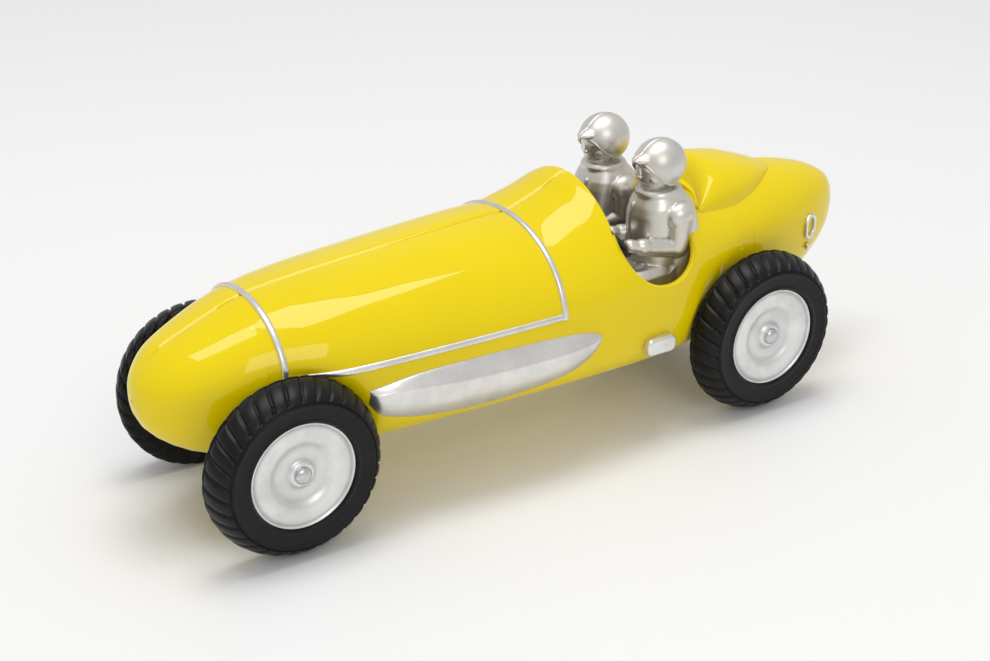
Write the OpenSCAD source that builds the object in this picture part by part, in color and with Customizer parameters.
// Pull-back toy of a two-seat 1930s racing car, in millimetres.
// +X is the nose, +Y the car's left side, +Z up. The floor is z = 0, below the middle of the body.

/* [Body] */
// Distance between the two axles
wheelbase = 113; // [90:1:136]
// Nose tip to the front axle
nose_len = 22.6; // [19:0.2:27]
// Rear axle to the tail tip
tail_len = 36.4; // [31:0.2:44]
// Widest part of the body
body_w = 46; // [44:0.5:55]
// Height of the bonnet's crown above the floor, at the rear hoop
bonnet_h = 50; // [49:0.5:60]
// Height of the belly above the floor
belly_h = 15; // [14.4:0.1:15.4]
// Thickness of the body shell
shell_t = 1.5; // [1.2:0.1:1.5]

/* [Wheels] */
// Diameter over the tread
wheel_d = 36; // [33:0.5:38]
// Width of a tyre
tyre_w = 7.3; // [6:0.1:8.5]
// Width over the outer faces of the tyres
track_w = 52.6; // [52:0.2:64]
// Diameter of the silver wheel disc
disc_d = 22; // [17:0.5:25]
// Diameter of the axles
axle_d = 2.5; // [2:0.1:3]
// Radial clearance of an axle or gear in its bearing
run_gap = 0.05; // [0.02:0.01:0.1]

/* [Trim] */
// Width of hoops and rails
trim_w = 1.3; // [0.8:0.1:2]
// Height that hoops and rails stand proud of the body
trim_h = 0.5; // [0.3:0.1:0.8]
// How far the side fairing's ridge stands out from the body
fairing_h = 2.6; // [1.5:0.1:3]

/* [Motor] */
// Gear module
gear_m = 0.5; // [0.4:0.05:0.5]
// Teeth of the rear axle's pinion and of the idler's small gear
pinion_z = 12; // [12:1:13]
// Teeth of the idler's large gear
idler_z = 28; // [24:1:29]
// Teeth of the spring barrel's gear
barrel_z = 36; // [30:1:37]
// Width of one gear
gear_w = 2; // [1.6:0.1:2.1]
// Width of the motor over both case halves
case_w = 14.8; // [14.6:0.1:15.4]
// Thickness of the motor case's side walls
case_t = 1.2; // [1:0.1:1.3]

/* [Figures] */
// Radius of a helmet
helmet_r = 5.7; // [5:0.1:6.5]
// Distance of each figure from the middle of the car
seat_y = 9.9; // [9.6:0.1:10.6]

/* [Hidden] */
$fn = 64;

yellow = "gold";
silver = "silver";
rubber = "#202020";
steel = "lightgray";
plastic = "dimgray";

half_len = (nose_len + wheelbase + tail_len) / 2;
front_x = half_len - nose_len;
rear_x = front_x - wheelbase;
wheel_r = wheel_d / 2;
track_y = track_w / 2;
tyre_in = track_y - tyre_w;
disc_r = disc_d / 2;
axle_r = axle_d / 2;
bore_r = axle_r + run_gap;

// The shape is drawn on a car with these sizes and stretched piece by piece to the sizes above.
draft_nose = 22.6;
draft_base = 113;
draft_tail = 36.4;
draft_front = 63.4;
draft_rear = draft_front - draft_base;
draft_half = 86;
draft_w = 46;
draft_top = 50;
draft_belly = 15;

// A place along the drafted car, in the real car
function real_x(u) = u > draft_front ? front_x + (u - draft_front) * nose_len / draft_nose
    : u > draft_rear ? rear_x + (u - draft_rear) * wheelbase / draft_base
    : rear_x + (u - draft_rear) * tail_len / draft_tail;
// The same place the other way round
function draft_x(x) = x > front_x ? draft_front + (x - front_x) * draft_nose / nose_len
    : x > rear_x ? draft_rear + (x - rear_x) * draft_base / wheelbase
    : draft_rear + (x - rear_x) * draft_tail / tail_len;
function real_y(v) = v * body_w / draft_w;
function real_z(h) = belly_h + (h - draft_belly) * (bonnet_h - belly_h) / (draft_top - draft_belly);

// Smooth curve through knots [place, value], eased so that both ends of the car come out round
function ease(u) = acos(max(-1, min(1, u / draft_half)));
function span(u, k, i = 0) = i >= len(k) - 2 || u > k[i + 1][0] ? i : span(u, k, i + 1);
function slope(k, i) =
    let (a = max(0, i - 1), b = min(len(k) - 1, i + 1))
    (k[b][1] - k[a][1]) / (ease(k[b][0]) - ease(k[a][0]));
function curve(u, k) =
    let (i = span(u, k), a = ease(k[i][0]), h = ease(k[i + 1][0]) - a, t = (ease(u) - a) / h)
    k[i][1] * (2 * t ^ 3 - 3 * t ^ 2 + 1) + slope(k, i) * h * (t ^ 3 - 2 * t ^ 2 + t)
    + k[i + 1][1] * (3 * t ^ 2 - 2 * t ^ 3) + slope(k, i + 1) * h * (t ^ 3 - t ^ 2);
function soft_min(a, b) = let (k = 0.8, m = min(a, b)) m - k * ln(exp((m - a) / k) + exp((m - b) / k));

// Outline of the body from nose to tail: crown, belly, half width and the height of the widest line
crown = [[86, 29], [85, 33], [83, 35.8], [80.5, 38], [77, 39.8], [73, 41.5], [67, 43.9], [62, 45.4],
    [49, 47], [39, 47.8], [22, 49.1], [8, 50], [2.5, 50], [-1, 51], [-6, 53], [-12.5, 55.8],
    [-20, 54], [-31, 49.8], [-38, 48.6], [-45, 48.1], [-55, 47.8], [-65, 47.5], [-70, 46.9], [-74, 46.1],
    [-78, 44.9], [-82, 43], [-84.5, 41], [-86, 36]];
belly = [[86, 29], [85, 24.2], [83, 21.4], [77, 17.4], [72, 15.8], [67, 14.8], [61, 14.3], [40, 14.3],
    [0, 14.3], [-40, 14.3], [-59, 14.3], [-66, 17.2], [-74, 21], [-81.5, 26.4], [-84.5, 30.4], [-86, 36]];
width = [[86, 0], [85, 4.4], [83, 7.4], [80, 10.2], [75, 13], [68, 15.8], [62, 17.6], [56, 19.4],
    [48, 20.8], [34, 21.8], [19, 22.5], [3, 23], [-13, 23], [-22, 22.6], [-31, 21.2], [-38, 19],
    [-47, 16.8], [-56, 15.2], [-65, 12.8], [-74, 9.8], [-80, 7], [-84, 4], [-86, 0]];
waist = [[86, 29], [80, 30.4], [62, 31.5], [3, 31.5], [-31, 33], [-50, 34], [-70, 35], [-86, 36]];
upper_n = [[86, 2.1], [62, 2.15], [3, 2.15], [-12, 1.92], [-31, 2.15], [-86, 2.2]];
lower_n = [[86, 2.2], [72, 2.7], [66, 3.6], [50, 3.6], [-30, 3.6], [-57, 3.4], [-68, 2.5], [-86, 2.2]];

// Room that the body leaves for a tyre: flat beside it and flaring outwards past its tread
well_gap = 1;
well_slope = 1.5;
well_lead = 0.7;
function well(x, z, axle_x) =
    tyre_in - well_gap + well_slope * max(0, norm([x - axle_x, z - wheel_r]) - wheel_r + well_lead);
function beside_wheels(x, z, y) =
    soft_min(soft_min(y, well(x, z, front_x)), well(x, z, rear_x));

// Half a body section, from the belly's middle (turn = 0) up to the crown's middle (turn = 180).
// The belly is planed off flat at belly_h.
function skin(x, turn, inset = 0) =
    let (u = draft_x(x), mid = real_z(curve(u, waist)), up = turn > 90,
        n = curve(u, up ? upper_n : lower_n),
        reach = up ? real_z(curve(u, crown)) - mid : mid - real_z(curve(u, belly)),
        h = mid + (up ? 1 : -1) * (reach - inset) * abs(cos(turn)) ^ (2 / n),
        z = max(h, belly_h + inset),
        y = (real_y(curve(u, width)) - inset) * max(0, sin(turn)) ^ (2 / n))
    [x, turn == 0 || turn == 180 ? 0 : max(0.01, beside_wheels(x, z, y + inset) - inset), z];
// Half width of the body at a height
function skin_y(x, z) =
    let (u = draft_x(x), mid = real_z(curve(u, waist)), up = z > mid,
        n = curve(u, up ? upper_n : lower_n),
        reach = up ? real_z(curve(u, crown)) - mid : mid - real_z(curve(u, belly)),
        y = real_y(curve(u, width)) * max(0, 1 - (abs(z - mid) / reach) ^ n) ^ (1 / n))
    beside_wheels(x, z, y);
function mirrored(p) = [p[0], -p[1], p[2]];
// Turn at which the upper skin reaches a height, or a distance from the middle
function turn_at_z(x, z) =
    let (u = draft_x(x), mid = real_z(curve(u, waist)), reach = real_z(curve(u, crown)) - mid)
    90 + asin(min(1, (z - mid) / reach) ^ (curve(u, upper_n) / 2));
function turn_at_y(x, y) =
    let (u = draft_x(x)) 180 - asin(min(1, y / real_y(curve(u, width))) ^ (curve(u, upper_n) / 2));
function low_turn_at_z(x, z, inset = 0) =
    let (u = draft_x(x), mid = real_z(curve(u, waist)), reach = mid - real_z(curve(u, belly)) - inset)
    acos(max(0, (mid - z) / reach) ^ (curve(u, lower_n) / 2));

// Solid through closed rings that all have the same number of points
module loft(rings) {
    n = len(rings[0]);
    m = len(rings);
    sides = [for (i = [0:m - 2], j = [0:n - 1]) let (a = i * n + j, b = i * n + (j + 1) % n)
        each [[a, b + n, b], [a, a + n, b + n]]];
    caps = [[for (j = [0:n - 1]) j], [for (j = [n - 1:-1:0]) (m - 1) * n + j]];
    polyhedron([for (r = rings) each r], concat(sides, caps));
}
// Shell and belly pan part along the turn part_turn. Both leave a slot for each axle.
part_turn = 40;
slot_w = axle_d + 1.2;
slot_step = 0.05;
function in_slot(x, axle_x) = abs(x - axle_x) < slot_w / 2 + slot_step / 2;
function at_slot(x) = in_slot(x, front_x) || in_slot(x, rear_x);
function skirt_turn(x) = at_slot(x) ? low_turn_at_z(x, wheel_r + slot_w / 2) : part_turn;
function pan_turn(x) = at_slot(x) ? low_turn_at_z(x, pan_top + 0.1, shell_t) : part_turn;

// Rim of the cockpit: a scoop down both sides, then an oval round the seat backs
cowl_end = -12.5;
scoop_end = -32.4;
cockpit_end = -40.6;
scoop_mid = -24.5;
scoop_low = 35;
scoop_rise = [13, 8.4];
function scoop_z(v) =
    let (ahead = v > scoop_mid, share = (v - scoop_mid) / ((ahead ? cowl_end : scoop_end) - scoop_mid))
    scoop_low + scoop_rise[ahead ? 0 : 1] * (1 - sqrt(max(0, 1 - share ^ 2)));
oval_mid = -27;
oval_len = 14.5;
oval_w = 19;
function rim_turn(u) = let (v = max(cockpit_end, min(cowl_end, u)), x = real_x(v))
    v >= scoop_end ? turn_at_z(x, real_z(scoop_z(v)))
    : turn_at_y(x, real_y(oval_w * sqrt(1 - ((v - oval_mid) / oval_len) ^ 2)));

// Stations along the body, from nose to tail
low_cols = 9;
top_cols = 5;
cols = low_cols + top_cols;
nose_stations = concat([for (a = [1.5:5:36.5]) draft_half * cos(a)], [67.4]);
bonnet_stations = [58, 54, 52.4, 51, 49, 47, 45.4, 44, 42, 38, 31, 25, 19, 13, 8, 4.5, 2.5, 1, -1.5, -5, -9];
cockpit_stations = concat([for (a = [90:-15:15]) scoop_mid + (cowl_end - scoop_mid) * sin(a)],
    [for (a = [0:18:90]) scoop_mid + (scoop_end - scoop_mid) * sin(a)], [-34, -36, -38.8, cockpit_end]);
slot_steps = [slot_w / 2 + slot_step, slot_w / 2, 0, -slot_w / 2, -slot_w / 2 - slot_step];
near_front = [for (d = slot_steps) draft_x(front_x + d)];
near_rear = [for (d = slot_steps) draft_x(rear_x + d)];
stations = concat(nose_stations, near_front, bonnet_stations, cockpit_stations, [-44], near_rear,
    [-54, -58, -62, -66, -70, -74, -77.5, -80.5, -83, -84.8, -85.7, -85.95]);
open_first = search(cowl_end, stations)[0];
open_last = search(cockpit_end, stations)[0];

// One half column of the shell: outer or inner skin from the skirt over the rim to the crown
function shell_row(u, inset) =
    let (x = real_x(u), t0 = skirt_turn(x), tr = rim_turn(u), w = real_y(curve(u, width)),
        cut = min(inset, 0.6 * w),
        half = concat([for (j = [0:low_cols - 1]) skin(x, t0 + (tr - t0) * j / low_cols, cut)],
            [for (j = [0:top_cols - 1]) skin(x, tr + (180 - tr) * j / top_cols, cut)]))
    concat(half, [skin(x, 180, cut)], [for (j = [cols - 1:-1:0]) mirrored(half[j])]);
function is_open(i, j) = i >= open_first && i < open_last && j >= low_cols && j < 2 * cols - low_cols;
module shell() {
    n = 2 * cols + 1;
    m = len(stations);
    inner = n * m;
    points = concat([for (u = stations) each shell_row(u, 0)], [for (u = stations) each shell_row(u, shell_t)]);
    cells = [for (i = [0:m - 2], j = [0:n - 2]) if (!is_open(i, j))
        [i * n + j, i * n + j + 1, i * n + n + j + 1, i * n + n + j]];
    // Edges between skin and air, walked so that the skin lies on the right
    ends = [for (j = [0:n - 2]) each [[j + 1, j], [(m - 1) * n + j, (m - 1) * n + j + 1]]];
    skirts = [for (i = [0:m - 2]) each [[i * n, i * n + n], [i * n + n + n - 1, i * n + n - 1]]];
    rims = [for (i = [open_first:open_last - 1]) each
        [[(i + 1) * n + low_cols, i * n + low_cols], [i * n + 2 * cols - low_cols, (i + 1) * n + 2 * cols - low_cols]]];
    edges = [for (j = [low_cols:2 * cols - low_cols - 1]) each
        [[open_first * n + j, open_first * n + j + 1], [open_last * n + j + 1, open_last * n + j]]];
    polyhedron(points, concat(
        [for (c = cells) each [[c[0], c[1], c[2]], [c[0], c[2], c[3]]]],
        [for (c = cells) each [[inner + c[2], inner + c[1], inner + c[0]], [inner + c[3], inner + c[2], inner + c[0]]]],
        [for (e = concat(ends, skirts, rims, edges)) each
            [[e[0], e[1], inner + e[1]], [e[0], inner + e[1], inner + e[0]]]]));
}
pan_cols = 7;
function pan_ring(u) =
    let (x = real_x(u), t0 = pan_turn(x), cut = min(shell_t, 0.6 * real_y(curve(u, width))),
        half = [for (inset = [0, cut]) [for (j = [0:pan_cols]) skin(x, j * t0 / pan_cols, inset)]])
    concat([for (j = [pan_cols:-1:1]) mirrored(half[0][j])], half[0],
        [for (j = [pan_cols:-1:0]) half[1][j]], [for (j = [1:pan_cols]) mirrored(half[1][j])]);

// Headrest hump behind the seats, a long teardrop on the deck
hump_top = [[-41.5, 51.9], [-45, 52.6], [-49, 52.5], [-54, 51.8], [-57.5, 50.8], [-61, 49.6], [-64, 48.4],
    [-67, 46.9]];
hump_w = [[-41.5, 13.2], [-45, 12.6], [-49, 11.8], [-54, 10.2], [-58, 8.3], [-62, 5.8], [-65, 3.4], [-67, 0.6]];
hump_n = 2.3;
hump_first = -41.6;
hump_last = -66.4;
glue_in = 0.1;
function deck_z(x, y) =
    let (u = draft_x(x), mid = real_z(curve(u, waist)), reach = real_z(curve(u, crown)) - mid,
        n = curve(u, upper_n))
    mid + reach * max(0, 1 - (abs(y) / real_y(curve(u, width))) ^ n) ^ (1 / n);
hump_least = 0.6;
function hump_ring(u) =
    let (x = real_x(u), w = max(hump_least, real_y(curve(u, hump_w))), foot = deck_z(x, w),
        high = max(hump_least, real_z(curve(u, hump_top)) - foot))
    concat([for (k = [1:-0.25:-1]) [x, k * w, deck_z(x, k * w) - glue_in]],
        [for (t = [-81:9:81])
            [x, w * sign(t) * abs(sin(t)) ^ (2 / hump_n), foot + high * cos(t) ^ (2 / hump_n)]]);
module hump() {
    loft([for (i = [0:14]) hump_ring(hump_first + (hump_last - hump_first) * i / 14)]);
}

// Rear axle and gear shafts of the motor
function gear_r(z) = z * gear_m / 2;
idler_dir = 60;
barrel_dir = 158;
axle_at = [rear_x, wheel_r];
idler_at = axle_at + (gear_r(pinion_z) + gear_r(idler_z)) * [cos(idler_dir), sin(idler_dir)];
barrel_at = idler_at + (gear_r(pinion_z) + gear_r(barrel_z)) * [cos(barrel_dir), sin(barrel_dir)];

pan_top = belly_h + shell_t;
pan_gap = 0.3;
motor_drop = 5;
module belly_pan() {
    color(yellow) difference() {
        loft([for (u = stations) pan_ring(u)]);
        translate([rear_x - 7, -case_w / 2 - pan_gap, 0]) cube([14, case_w + 2 * pan_gap, 30]);
        for (p = chassis_screw_at) translate([p[0], p[1], 0]) {
            cylinder(h = 30, r = screw_r + 0.1);
            cylinder(h = belly_h + screw_head_h, r = screw_head_r + 0.1);
        }
    }
}
module body_shell() { color(yellow) shell(); }
module headrest() { color(yellow) hump(); }

// Silver trim. Each piece is let into the body by glue_in.
rail_z = [[62, 33.8], [30, 34.3], [3, 34.7]];
function hoop_ring(x, turn, side) =
    [for (q = [[-1, glue_in], [-1, -trim_h / 2], [-0.5, -trim_h], [0.5, -trim_h], [1, -trim_h / 2], [1, glue_in]])
        let (p = skin(x, turn, q[1])) [x + q[0] * trim_w / 2, side * p[1], p[2]]];
module hoop(u) {
    x = real_x(u);
    foot = turn_at_z(x, real_z(curve(u, rail_z)) - trim_w / 2);
    steps = 14;
    loft(concat([for (i = [0:steps]) hoop_ring(x, foot + (180 - foot) * i / steps, 1)],
        [for (i = [steps - 1:-1:0]) hoop_ring(x, foot + (180 - foot) * i / steps, -1)]));
}
// A rail runs from hoop to hoop along the body's widest line
rail_gap = 0.05;
function rail_ring(u) =
    let (x = real_x(u), z = real_z(curve(u, rail_z)), y = skin_y(x, z))
    [[x, y - glue_in, z - trim_w / 2], [x, y + trim_h * 0.5, z - trim_w / 2],
        [x, y + trim_h, z - trim_w / 4], [x, y + trim_h, z + trim_w / 4],
        [x, y + trim_h * 0.5, z + trim_w / 2], [x, y - glue_in, z + trim_w / 2]];
module rail() {
    front = draft_x(real_x(62) - trim_w / 2 - rail_gap);
    rear = draft_x(real_x(3) + trim_w / 2 + rail_gap);
    loft([for (i = [0:24]) rail_ring(front + (rear - front) * i / 24)]);
}
// Side fairing: upper edge, ridge and lower edge of a boat-shaped bulge
fairing_top = [[46.5, 29], [44.5, 29.5], [36, 30.6], [20, 30.9], [4, 30.6], [-3, 29.8], [-6, 28.6]];
fairing_ridge = [[46.5, 28.2], [40, 28.6], [30, 28], [18, 27.6], [6, 27.7], [-2, 28], [-6, 28.3]];
fairing_foot = [[46.5, 26], [44.5, 23.4], [37, 20.8], [29, 19.4], [20, 19], [12, 19.4], [3, 20.8],
    [-3.4, 24], [-6, 28]];
fairing_out = [[46.5, 0.3], [44.5, 0.6], [38, 0.8], [30, 0.95], [20, 1], [6, 1], [0, 0.9], [-4, 0.6], [-6, 0.3]];
fairing_front = 46.4;
fairing_rear = -5.9;
function fairing_ring(u) =
    let (x = real_x(u), zt = real_z(curve(u, fairing_top)), zr = real_z(curve(u, fairing_ridge)),
        zf = real_z(curve(u, fairing_foot)), out = fairing_h * curve(u, fairing_out))
    concat([for (k = [0:0.2:1]) let (z = zt + (zf - zt) * k) [x, skin_y(x, z) - glue_in, z]],
        [[x, skin_y(x, zf) + 0.1, zf], [x, skin_y(x, (zf + zr) / 2) + out * 0.75, (zf + zr) / 2],
            [x, skin_y(x, zr) + out, zr], [x, skin_y(x, zt) + 0.1, zt]]);
module fairing() {
    loft([for (i = [0:26]) fairing_ring(fairing_front + (fairing_rear - fairing_front) * i / 26)]);
}
// Rounded silver box low on the side, ahead of the rear wheel
step_len = 7.4;
step_high = 3.8;
step_out = 2.4;
step_round = 1.3;
step_x = -20.7;
step_z = 22.7;
function step_ring(s) =
    let (x = real_x(step_x) + s * step_len / 2, z = real_z(step_z),
        past = max(0, step_round - (1 - abs(s)) * step_len / 2),
        h = step_high / 2 - step_round + sqrt(max(0.01, step_round ^ 2 - past ^ 2)),
        face = skin_y(real_x(step_x), z) + step_out)
    concat([for (k = [-1:0.5:1]) [x, skin_y(x, z + k * h) - glue_in, z + k * h]],
        [for (k = [1:-0.5:-1]) [x, face, z + k * h]]);
module step_box() {
    loft([for (s = [1, 0.97, 0.9, 0.8, 0.65, 0, -0.65, -0.8, -0.9, -0.97, -1]) step_ring(s)]);
}
// Oval lamp ring on the tail's flank, with a short bar below it
ring_w = 4.6;
ring_h = 6;
ring_t = 1;
ring_out = 0.9;
ring_in = 0.35;
module oval(w, h) {
    hull() for (k = [-1, 1]) translate([0, k * (h - w) / 2]) circle(d = w, $fn = 32);
}
module tail_ring() {
    x = real_x(-71.9);
    z = real_z(34);
    lean = atan((skin_y(x + 2, z) - skin_y(x - 2, z)) / 4);
    fall = atan((skin_y(x, z + 2) - skin_y(x, z - 2)) / 4);
    translate([x, skin_y(x, z), z]) rotate([-fall, 0, lean]) rotate([90, 0, 0])
        translate([0, 0, -ring_out]) linear_extrude(ring_out + ring_in) {
            difference() {
                oval(ring_w, ring_h);
                oval(ring_w - 2 * ring_t, ring_h - 2 * ring_t);
            }
            translate([0, -ring_h / 2 - 1.8]) square([1.6, 1.8], center = true);
        }
}
module front_hoop() { color(silver) hoop(62); }
module rear_hoop() { color(silver) hoop(3); }
module left_rail() { color(silver) rail(); }
module right_rail() { color(silver) mirror([0, 1, 0]) rail(); }
module left_fairing() { color(silver) fairing(); }
module right_fairing() { color(silver) mirror([0, 1, 0]) fairing(); }
module left_step() { color(silver) step_box(); }
module right_step() { color(silver) mirror([0, 1, 0]) step_box(); }
module left_tail_ring() { color(silver) tail_ring(); }
module right_tail_ring() { color(silver) mirror([0, 1, 0]) tail_ring(); }

// Cockpit tub: a tray with front, rear and low side walls
tub_t = 1.5;
tub_floor = 31.5;
tub_wall = [[-12.4, 30], [-32.5, 30], [-39, 43], [-36.4, 43], [-31.5, 37], [-28, 34.5], [-17, 34.5],
    [-14, 39], [-12.4, 39]];
tub_hollow = [[-13.8, tub_floor], [-31.6, tub_floor], [-38.8, 46], [-13.8, 46]];
tub_plan = [[-12, 17.6], [-30, 16.2], [-42, 9]];
module tub_block(profile, shrink) {
    plan = concat([for (p = tub_plan) [real_x(p[0]), real_y(p[1]) - shrink]],
        [for (i = [2:-1:0]) [real_x(tub_plan[i][0]), shrink - real_y(tub_plan[i][1])]]);
    intersection() {
        rotate([90, 0, 0]) linear_extrude(80, center = true)
            polygon([for (p = profile) [real_x(p[0]), real_z(p[1])]]);
        linear_extrude(90) polygon(plan);
    }
}
module cockpit_tub() {
    color(silver) difference() {
        tub_block(tub_wall, 0);
        tub_block(tub_hollow, tub_t);
    }
}

// Steering wheel on a short column that stands on the tub's front wall
helm_at = [real_x(-17.6), seat_y, real_z(42)];
helm_lean = 50;
helm_r = 4.4;
module steering_wheel() {
    color(rubber) translate(helm_at) rotate([0, -helm_lean, 0]) {
        rotate_extrude() translate([helm_r, 0]) circle(r = 0.55, $fn = 24);
        for (t = [0, 120, 240]) rotate([0, 0, t]) rotate([0, 90, 0]) cylinder(h = helm_r - 0.3, r = 0.35, $fn = 24);
        translate([0, 0, -3.2]) cylinder(h = 3.8, r = 0.8, $fn = 24);
    }
}

// Seated figures. Joints are [along, across, up] from the seat's middle, arms as shoulder, elbow, hand.
chest_at = [-29, 0, 44.6];
waist_at = [-28, 0, 37];
shoulder_at = [-30.4, 4.8, 47.6];
head_at = [-28.9, 0, 56.6];
function seat_place(p, side) = [real_x(p[0]), side * seat_y + p[1], real_z(tub_floor) + p[2] - tub_floor];
module ball(p, side, r) { translate(seat_place(p, side)) sphere(r = r, $fn = 18); }
module limb(a, b, side, ra, rb) {
    hull() {
        ball(a, side, ra);
        ball(b, side, rb);
    }
}
module figure_body(side, elbows, hands) {
    difference() {
        union() {
            hull() {
                ball(chest_at, side, 5.6);
                ball(waist_at, side, 5);
                for (k = [-1, 1]) ball([shoulder_at[0], k * shoulder_at[1], shoulder_at[2]], side, 2.9);
            }
            for (i = [0, 1]) {
                k = 2 * i - 1;
                limb([shoulder_at[0], k * shoulder_at[1], shoulder_at[2]], elbows[i], side, 2.6, 2.2);
                limb(elbows[i], hands[i], side, 2.2, 1.6);
            }
            translate(seat_place([head_at[0] - 0.9, 0, 47.4], side)) cylinder(h = 3.4, r1 = 4, r2 = 3.1, $fn = 32);
        }
        translate([-200, -200, real_z(tub_floor) - 400]) cube(400);
    }
}
module figure_head(side) {
    c = seat_place(head_at, side);
    neck = seat_place([head_at[0] - 0.9, 0, 50.8], side);
    difference() {
        union() {
            translate(c) sphere(r = helmet_r, $fn = 48);
            translate(neck) cylinder(h = 4, r = 2.7);
            hull() {
                translate(c + [0.8, 0, -2.8]) sphere(r = 3.6, $fn = 20);
                translate(c + [2.6, 0, -4.1]) sphere(r = 1.8, $fn = 16);
            }
            translate(c + [2.6, 0, 1.4]) rotate([0, 12, 0]) cylinder(h = 1, r1 = 4.6, r2 = 4.3);
        }
        translate([-200, -200, neck[2] - 400]) cube(400);
    }
}
driver_elbows = [[-30.2, -5.1, 40], [-30.2, 5, 40]];
driver_hands = [[-19.6, -4.2, 42], [-19.2, 4.6, 42]];
mechanic_elbows = [[-30.2, -5, 40], [-30.4, 5.1, 40.6]];
mechanic_hands = [[-24.6, -4.4, 38], [-25, 3.6, 38.4]];
module driver_body() { color(silver) figure_body(1, driver_elbows, driver_hands); }
module driver_head() { color(silver) figure_head(1); }
module mechanic_body() { color(silver) figure_body(-1, mechanic_elbows, mechanic_hands); }
module mechanic_head() { color(silver) figure_head(-1); }

// Wheels: solids of revolution drawn as [radius, distance from the car's middle]
// An outer shoulder falls away further than an inner one: [radial, along the axle]
outer_round = [2.7, 5.2];
inner_round = [2, 1.9];
outer_power = 1.5;
face_y = track_y - 1.3;
module on_axle(x, side) { translate([x, 0, wheel_r]) rotate([side > 0 ? -90 : 90, 0, 0]) children(); }
module tyre(x, side) {
    wide = tyre_w - inner_round[1] > outer_round[1] ? outer_round[1] : tyre_w - inner_round[1];
    color(rubber) on_axle(x, side) rotate_extrude($fn = 96) polygon(concat(
        [[disc_r, tyre_in + 0.6], [disc_r + 0.6, tyre_in]],
        [for (t = [0:15:90])
            [wheel_r - inner_round[0] * (1 - sin(t)), tyre_in + inner_round[1] * (1 - cos(t))]],
        [for (t = [90:-10:0]) [wheel_r - outer_round[0] * (1 - sin(t) ^ (2 / outer_power)),
            track_y - wide * (1 - cos(t) ^ (2 / outer_power))]],
        [[disc_r + 0.6, track_y], [disc_r, track_y - 0.6]]));
}
boss_r = 2.4;
module disc(x, side) {
    color(silver) on_axle(x, side) rotate_extrude($fn = 96) polygon([
        [axle_r, tyre_in - 0.4], [boss_r + 0.4, tyre_in - 0.4], [boss_r + 0.4, tyre_in + 2.2],
        [disc_r - 1.6, tyre_in + 2.2], [disc_r - 1.6, tyre_in + 0.6], [disc_r, tyre_in + 0.6],
        [disc_r, track_y - 0.6], [disc_r - 0.7, track_y - 0.6], [disc_r - 0.9, face_y],
        [disc_r * 0.62, face_y], [disc_r * 0.6, face_y - 0.4], [boss_r, face_y - 0.4],
        [boss_r, face_y], [axle_r, face_y]]);
}
cap_r = 1.8;
cap_h = 1.2;
cap_ball_r = (cap_r ^ 2 + cap_h ^ 2) / (2 * cap_h);
module cap(x, side) {
    color(silver) on_axle(x, side) translate([0, 0, face_y]) intersection() {
        translate([0, 0, cap_h - cap_ball_r]) sphere(r = cap_ball_r);
        cylinder(h = cap_h, r = cap_r);
    }
}
module axle(x) { color(steel) on_axle(x, 1) translate([0, 0, -face_y]) cylinder(h = 2 * face_y, r = axle_r); }
module front_left_tyre() { tyre(front_x, 1); }
module front_right_tyre() { tyre(front_x, -1); }
module rear_left_tyre() { tyre(rear_x, 1); }
module rear_right_tyre() { tyre(rear_x, -1); }
module front_left_disc() { disc(front_x, 1); }
module front_right_disc() { disc(front_x, -1); }
module rear_left_disc() { disc(rear_x, 1); }
module rear_right_disc() { disc(rear_x, -1); }
module front_left_cap() { cap(front_x, 1); }
module front_right_cap() { cap(front_x, -1); }
module rear_left_cap() { cap(rear_x, 1); }
module rear_right_cap() { cap(rear_x, -1); }
module front_axle() { axle(front_x); }
module rear_axle() { axle(rear_x); }

// Front axle bracket, screwed down on the belly pan
bracket_len = 7.4;
bracket_y = 5.4;
bracket_top = wheel_r + axle_r + 2;
screw_r = 0.9;
screw_head_r = 1.6;
screw_head_h = 0.8;
bracket_screw = [2.5, 3.6];
module front_axle_bracket() {
    color(plastic) difference() {
        translate([front_x - bracket_len / 2, -bracket_y, pan_top])
            cube([bracket_len, 2 * bracket_y, bracket_top - pan_top]);
        on_axle(front_x, 1) cylinder(h = 80, r = bore_r, center = true);
        for (p = bracket_screw_at) translate([p[0], p[1], 0]) cylinder(h = pan_top + screw_grip, r = screw_r);
    }
}

// Gear outline: involute flanks, thinned a little so that meshed teeth have play
pressure = 25;
gear_play = 0.05;
function involute(base, r) = let (a = acos(base / r)) tan(a) * 180 / PI - a;
module gear(z, turn) {
    r = gear_r(z);
    base = r * cos(pressure);
    tip = r + gear_m;
    root = r - 1.2 * gear_m;
    low = max(root, base);
    half = 90 / z - gear_play / r * 180 / PI + involute(base, r);
    flank = [for (i = [0:4]) let (q = low + (tip - low) * i / 4) [q, half - involute(base, q)]];
    tooth = concat([[root, flank[0][1] + 0.5]], flank);
    rotate(turn) polygon([for (k = [0:z - 1]) each concat(
        [for (p = tooth) p[0] * [cos(k * 360 / z - p[1]), sin(k * 360 / z - p[1])]],
        [for (i = [len(tooth) - 1:-1:0]) let (p = tooth[i])
            p[0] * [cos(k * 360 / z + p[1]), sin(k * 360 / z + p[1])]])]);
}
// Turn of gear 2 so that its teeth mesh with gear 1, which stands turned by turn1 and has z1 teeth
function mesh_turn(turn1, z1, dir, z2) =
    let (phase = (dir - turn1) * z1 / 360, part = phase - floor(phase))
    dir + 180 - (0.5 - part) * 360 / z2;
idler_turn = mesh_turn(0, pinion_z, idler_dir, idler_z);
idler_pinion_turn = idler_turn;
barrel_turn = mesh_turn(idler_pinion_turn, pinion_z, barrel_dir, barrel_z);

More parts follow.
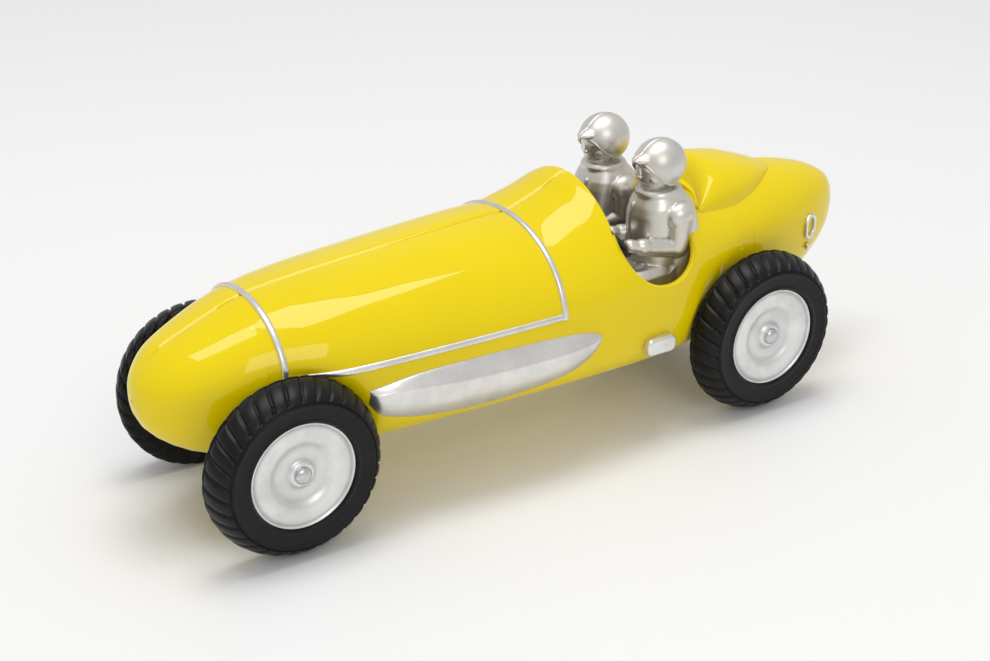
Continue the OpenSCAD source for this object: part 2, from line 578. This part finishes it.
// Places across the motor, from the right-hand wall to the left-hand one
inside = case_w / 2 - case_t;
end_play = 0.2;
low_gear_y = -inside + end_play;
high_gear_y = low_gear_y + gear_w + end_play;
drum_y = high_gear_y + gear_w;
lid_t = 0.6;
drum_end = inside - end_play;
drum_r = gear_r(barrel_z) + gear_m;
shaft_r = 0.8;
arbor_r = 1.5;
drum_wall = 0.8;
// Draws along +Y, from height y0 to y1, a flat shape given in the X-Z plane
module across(at, y0, y1) {
    translate([at[0], y1, at[1]]) rotate([90, 0, 0]) linear_extrude(y1 - y0) children();
}
module axle_pinion() {
    color(plastic) across(axle_at, low_gear_y, low_gear_y + gear_w) difference() {
        gear(pinion_z, 0);
        circle(r = axle_r);
    }
}
module idler_gear() {
    color("ivory") difference() {
        union() {
            across(idler_at, low_gear_y, low_gear_y + gear_w) gear(idler_z, idler_turn);
            across(idler_at, low_gear_y + gear_w, high_gear_y + gear_w) gear(pinion_z, idler_pinion_turn);
            across(idler_at, high_gear_y + gear_w, drum_end) circle(r = shaft_r + 0.8);
        }
        across(idler_at, -20, 20) circle(r = shaft_r + run_gap);
    }
}
module idler_shaft() { color(steel) across(idler_at, -case_w / 2, case_w / 2) circle(r = shaft_r); }
module barrel_arbor() { color(steel) across(barrel_at, -case_w / 2, case_w / 2) circle(r = arbor_r); }
module spring_barrel() {
    color("ivory") difference() {
        union() {
            across(barrel_at, high_gear_y, high_gear_y + gear_w) gear(barrel_z, barrel_turn);
            across(barrel_at, drum_y, drum_end - lid_t) circle(r = drum_r - gear_m);
        }
        across(barrel_at, drum_y, 20) circle(r = drum_r - gear_m - drum_wall);
        across(barrel_at, -20, 20) circle(r = arbor_r + run_gap);
    }
}
module barrel_lid() {
    color("ivory") across(barrel_at, drum_end - lid_t, drum_end) difference() {
        circle(r = drum_r - gear_m);
        circle(r = arbor_r + run_gap);
    }
}
// Flat spiral spring with an inner hook at the arbor and its outer end at the barrel wall
spring_t = 0.3;
spring_turns = 6;
module mainspring() {
    inner = arbor_r + 0.15;
    outer = drum_r - gear_m - drum_wall - 0.1;
    function coil(t, off) = (inner + (outer - spring_t - inner) * t / (360 * spring_turns) + off) * [cos(t), sin(t)];
    turns = [for (t = [0:15:360 * spring_turns]) t];
    color(steel) across(barrel_at, drum_y + 0.2, drum_end - lid_t - 0.2)
        polygon(concat([for (t = turns) coil(t, 0)], [for (i = [len(turns) - 1:-1:0]) coil(turns[i], spring_t)]));
}

// Motor case: two halves that meet in the middle of the car, hollowed round the gears
case_gap = 0.8;
case_back = barrel_at[0] - drum_r - case_gap - case_t;
case_front = idler_at[0] + gear_r(idler_z) + gear_m + case_gap + case_t;
case_high = barrel_at[1] + drum_r + case_gap + case_t;
case_outline = [[case_front, pan_top], [case_front, idler_at[1] + 3.6], [case_front - 3, idler_at[1] + 8],
    [case_front - 3, case_high - 3], [case_front - 5.6, case_high], [barrel_at[0] - 4, case_high],
    [case_back, barrel_at[1] + 6], [case_back, barrel_at[1] - 4], [rear_x - 9, pan_top + 0.6],
    [rear_x - 6, pan_top], [rear_x - 4.6, wheel_r - motor_drop], [rear_x + 4.6, wheel_r - motor_drop],
    [rear_x + 6, pan_top]];
case_screw_at = [[case_front - 5.4, case_high - 3.2], [case_front - 2.6, pan_top + 2.8], [rear_x - 8.6, pan_top + 4]];
module case_half(side) {
    y0 = side > 0 ? 0 : -case_w / 2;
    color(plastic) difference() {
        across([0, 0], y0, y0 + case_w / 2) polygon(case_outline);
        across(axle_at, -inside, inside) circle(r = gear_r(pinion_z) + gear_m + case_gap / 2);
        across(idler_at, -inside, inside) circle(r = gear_r(idler_z) + gear_m + case_gap);
        across(barrel_at, -inside, inside) circle(r = drum_r + case_gap);
        across(axle_at, -20, 20) circle(r = bore_r);
        across(idler_at, -20, 20) circle(r = shaft_r);
        across(barrel_at, -20, 20) circle(r = arbor_r);
        for (p = case_screw_at) across(p, -20, 20) circle(r = screw_r);
        for (p = case_screw_at) across(p, case_w / 2 - screw_head_h, 20) circle(r = screw_head_r);
        for (p = motor_foot_at) translate([p[0], p[1], 0]) cylinder(h = pan_top + screw_grip, r = screw_r);
    }
}
module motor_case_left() { case_half(1); }
module motor_case_right() { case_half(-1); }
module motor_screws() {
    color(steel) for (p = case_screw_at) {
        across(p, -case_w / 2, case_w / 2 - screw_head_h) circle(r = screw_r);
        across(p, case_w / 2 - screw_head_h, case_w / 2) circle(r = screw_head_r);
    }
}

// Screws from below: two hold the front bracket, two the motor's front foot
screw_grip = 3;
foot_y = 4.4;
bracket_screw_at = [for (k = [-1, 1]) [front_x + k * bracket_screw[0], k * bracket_screw[1]]];
motor_foot_at = [for (k = [-1, 1]) [case_front - 6, k * foot_y]];
chassis_screw_at = concat(bracket_screw_at, motor_foot_at);
module chassis_screws() {
    color(steel) for (p = chassis_screw_at) translate([p[0], p[1], 0]) {
        translate([0, 0, belly_h]) cylinder(h = shell_t + screw_grip, r = screw_r);
        translate([0, 0, belly_h]) cylinder(h = screw_head_h, r = screw_head_r);
    }
}

body_shell();
belly_pan();
headrest();
front_hoop();
rear_hoop();
left_rail();
right_rail();
left_fairing();
right_fairing();
left_step();
right_step();
left_tail_ring();
right_tail_ring();
cockpit_tub();
steering_wheel();
driver_body();
driver_head();
mechanic_body();
mechanic_head();
front_left_tyre();
front_right_tyre();
rear_left_tyre();
rear_right_tyre();
front_left_disc();
front_right_disc();
rear_left_disc();
rear_right_disc();
front_left_cap();
front_right_cap();
rear_left_cap();
rear_right_cap();
front_axle();
rear_axle();
front_axle_bracket();
motor_case_left();
motor_case_right();
axle_pinion();
idler_gear();
idler_shaft();
spring_barrel();
barrel_lid();
barrel_arbor();
mainspring();
motor_screws();
chassis_screws();
